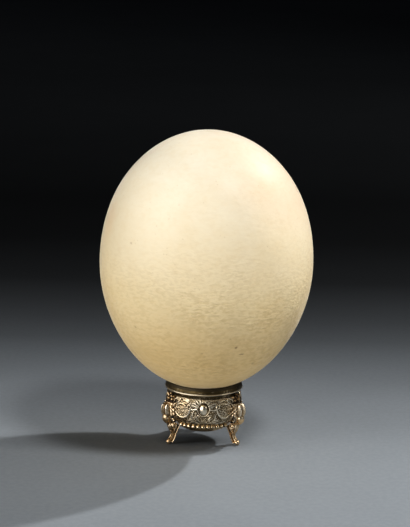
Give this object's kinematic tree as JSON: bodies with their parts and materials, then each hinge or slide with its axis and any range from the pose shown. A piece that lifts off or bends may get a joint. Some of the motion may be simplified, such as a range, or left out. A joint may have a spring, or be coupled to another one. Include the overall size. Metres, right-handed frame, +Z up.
{
  "type": "ostrich egg on a footed metal stand",
  "caption": "Cream ostrich egg standing upright in a small round footed silver stand with a flared collar, relief panels, a bead row and scrolled legs.",
  "frame": {"origin": "on the surface that the feet rest on, under the middle of the stand", "axes": "+Z is up along the egg's long axis, -Y is the front with one panel boss in its middle, +X is to the right seen from the front"},
  "size_m": [0.127, 0.127, 0.1889],
  "materials": {
    "eggshell": "natural satin eggshell, cream, finely dimpled and pored, slightly darker towards the lower end",
    "collar_metal": "polished tarnished silver-gilt, darker than the bowl",
    "bowl_metal": "chased silver with dark patina in the recesses and worn bright heights",
    "leg_metal": "cast silver with gold-tinted smooth parts and dark patina in the hollows"
  },
  "bodies": {
    "root": {"egg": "eggshell", "stand_collar": "collar_metal", "stand_bowl": "bowl_metal", "leg_front_left": "leg_metal", "leg_front_right": "leg_metal", "leg_back": "leg_metal"}
  },
  "joints": []
}
